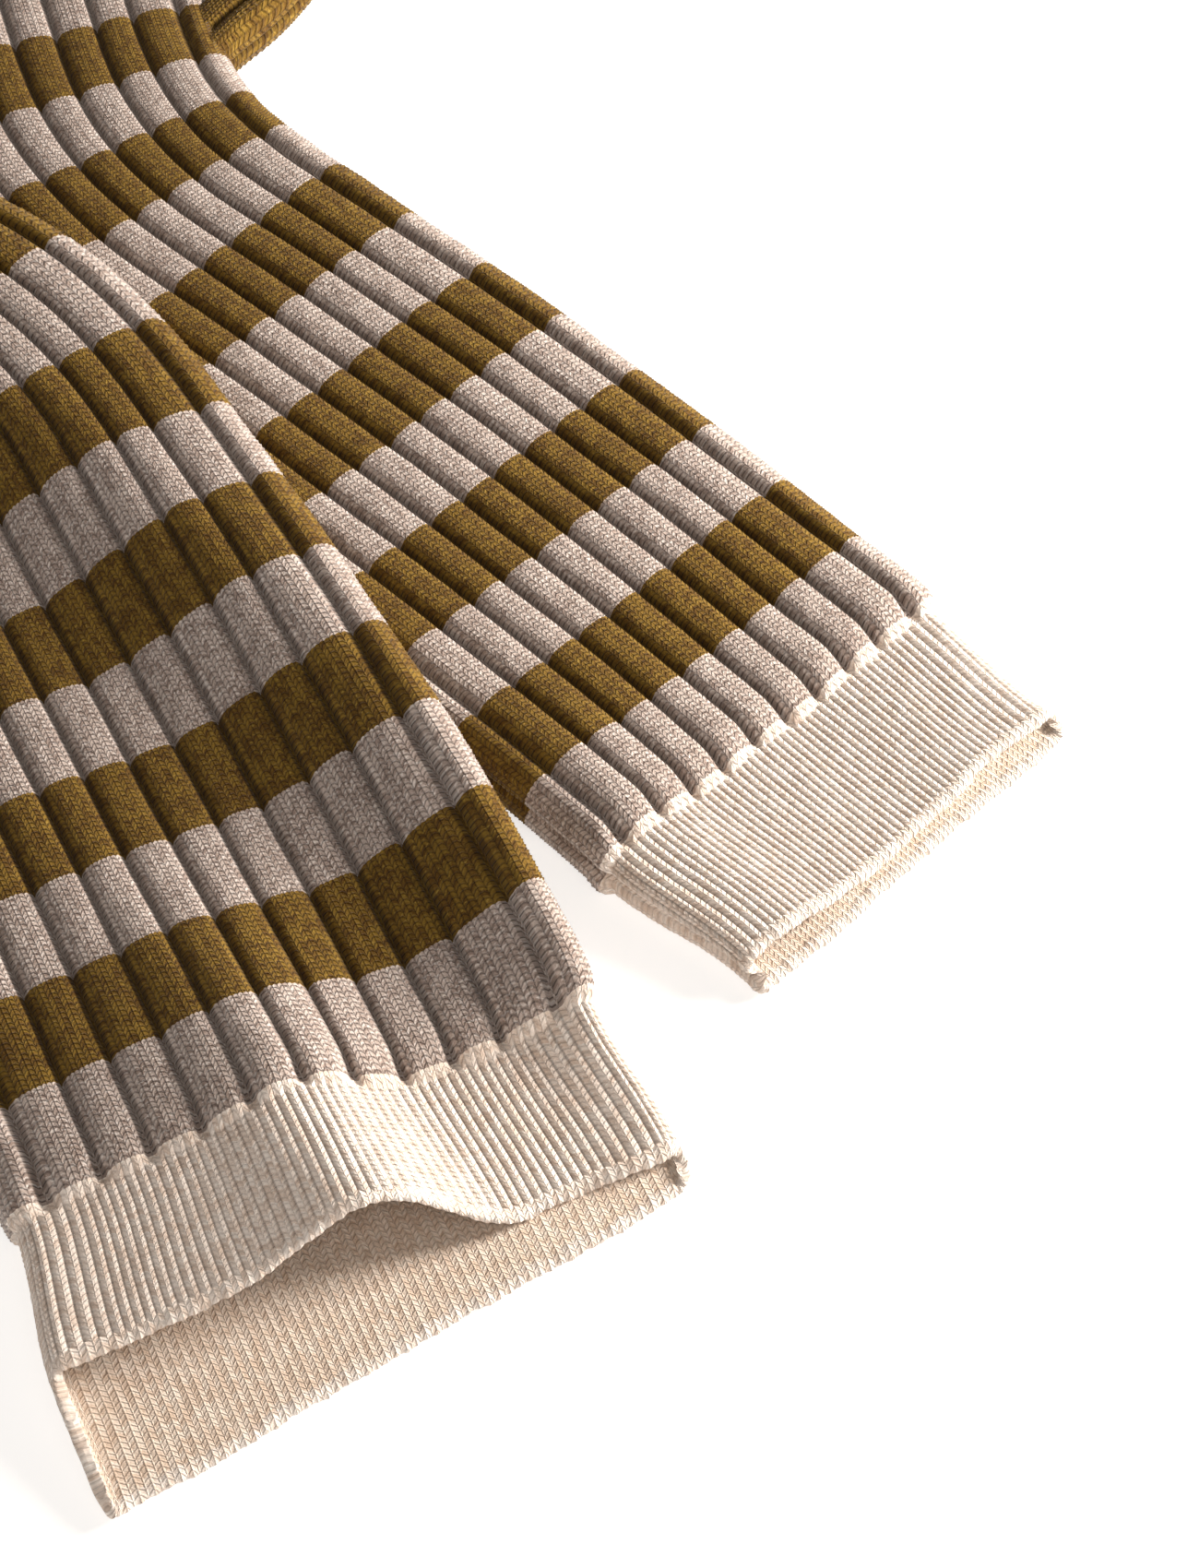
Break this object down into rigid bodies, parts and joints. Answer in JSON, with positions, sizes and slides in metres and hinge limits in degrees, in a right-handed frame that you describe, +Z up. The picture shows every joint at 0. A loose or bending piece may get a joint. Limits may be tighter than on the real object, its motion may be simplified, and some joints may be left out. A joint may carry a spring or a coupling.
{
  "type": "knitted gloves",
  "caption": "Pair of long rib-knit gloves with fine ribbed cuffs and two-colour stripes, lying flat, one draped over the other.",
  "frame": {"origin": "centre of the pair's box on the table plane", "axes": "+Z up from the table, +Y from the cuffs to the hands, +X to the right seen from above"},
  "size_m": [0.3074, 0.3936, 0.023],
  "materials": {
    "cream_cuff": "fine 1x1 rib knit, matt",
    "oatmeal_rib": "marled wide rib knit, matt",
    "olive_rib": "wide rib knit, matt",
    "finger_stripes": "plain knit in two-colour stripes, matt"
  },
  "bodies": {
    "left_glove": {"left_cuff": "cream_cuff", "left_cuff_edge": "cream_cuff", "left_forearm_band_01": "oatmeal_rib", "left_forearm_band_02": "olive_rib", "left_forearm_band_03": "oatmeal_rib", "left_forearm_band_04": "olive_rib", "left_forearm_band_05": "oatmeal_rib", "left_forearm_band_06": "olive_rib", "left_forearm_band_07": "oatmeal_rib", "left_forearm_band_08": "olive_rib", "left_forearm_band_09": "oatmeal_rib", "left_forearm_band_10": "olive_rib", "left_hand_band_1": "oatmeal_rib", "left_hand_band_2": "olive_rib", "left_hand_band_3": "oatmeal_rib", "left_hand_band_4": "olive_rib", "left_hand_band_5": "oatmeal_rib"},
    "right_forearm": {"right_cuff": "cream_cuff", "right_cuff_edge": "cream_cuff", "right_forearm_band_01": "oatmeal_rib", "right_forearm_band_02": "olive_rib", "right_forearm_band_03": "oatmeal_rib", "right_forearm_band_04": "olive_rib", "right_forearm_band_05": "oatmeal_rib", "right_forearm_band_06": "olive_rib", "right_forearm_band_07": "oatmeal_rib", "right_forearm_band_08": "olive_rib", "right_forearm_band_09": "oatmeal_rib", "right_forearm_band_10": "olive_rib"},
    "right_hand": {"right_hand_band_1": "oatmeal_rib", "right_hand_band_2": "olive_rib", "right_hand_band_3": "oatmeal_rib", "right_hand_band_4": "olive_rib", "right_hand_band_5": "oatmeal_rib"},
    "left_thumb": {"left_thumb": "finger_stripes"},
    "left_index_finger": {"left_index_finger": "finger_stripes"},
    "left_middle_finger": {"left_middle_finger": "finger_stripes"},
    "left_ring_finger": {"left_ring_finger": "finger_stripes"},
    "left_little_finger": {"left_little_finger": "finger_stripes"},
    "right_thumb": {"right_thumb": "finger_stripes"},
    "right_index_finger": {"right_index_finger": "finger_stripes"},
    "right_middle_finger": {"right_middle_finger": "finger_stripes"},
    "right_ring_finger": {"right_ring_finger": "finger_stripes"},
    "right_little_finger": {"right_little_finger": "finger_stripes"}
  },
  "joints": [
    {"name": "lift_off", "type": "slide", "parent": "left_glove", "child": "right_forearm", "axis": [0, 0, 1], "range_m": [0, 0.15]},
    {"name": "right_wrist_fold", "type": "hinge", "parent": "right_forearm", "child": "right_hand", "pos_m": [-0.01196, 0.02271, 0.0231], "axis": [0.8947, 0.4466, 0], "range_deg": [0, 100]},
    {"name": "left_index_finger_fold", "type": "hinge", "parent": "left_glove", "child": "left_index_finger", "pos_m": [0.09893, 0.11427, 0.0113], "axis": [0.9619, -0.2733, 0], "range_deg": [0, 120]},
    {"name": "left_middle_finger_fold", "type": "hinge", "parent": "left_glove", "child": "left_middle_finger", "pos_m": [0.07758, 0.12034, 0.0113], "axis": [0.9619, -0.2733, 0], "range_deg": [0, 120]},
    {"name": "left_ring_finger_fold", "type": "hinge", "parent": "left_glove", "child": "left_ring_finger", "pos_m": [0.05641, 0.12635, 0.0113], "axis": [0.9619, -0.2733, 0], "range_deg": [0, 120]},
    {"name": "left_little_finger_fold", "type": "hinge", "parent": "left_glove", "child": "left_little_finger", "pos_m": [0.0366, 0.13198, 0.0113], "axis": [0.9619, -0.2733, 0], "range_deg": [0, 120]},
    {"name": "left_thumb_fold", "type": "hinge", "parent": "left_glove", "child": "left_thumb", "pos_m": [0.09453, 0.06252, 0.0113], "axis": [-0.3091, -0.951, 0], "range_deg": [0, 75]},
    {"name": "right_index_finger_fold", "type": "hinge", "parent": "right_hand", "child": "right_index_finger", "pos_m": [-0.0941, 0.06236, 0.0113], "axis": [0.6658, 0.7462, 0], "range_deg": [0, 120]},
    {"name": "right_middle_finger_fold", "type": "hinge", "parent": "right_hand", "child": "right_middle_finger", "pos_m": [-0.07932, 0.07893, 0.0113], "axis": [0.6658, 0.7462, 0], "range_deg": [0, 120]},
    {"name": "right_ring_finger_fold", "type": "hinge", "parent": "right_hand", "child": "right_ring_finger", "pos_m": [-0.06467, 0.09534, 0.0113], "axis": [0.6658, 0.7462, 0], "range_deg": [0, 120]},
    {"name": "right_little_finger_fold", "type": "hinge", "parent": "right_hand", "child": "right_little_finger", "pos_m": [-0.05096, 0.11071, 0.0113], "axis": [0.6658, 0.7462, 0], "range_deg": [0, 120]},
    {"name": "right_thumb_fold", "type": "hinge", "parent": "right_hand", "child": "right_thumb", "pos_m": [-0.06631, 0.02099, 0.0113], "axis": [-0.7288, 0.6847, 0], "range_deg": [0, 75]}
  ]
}
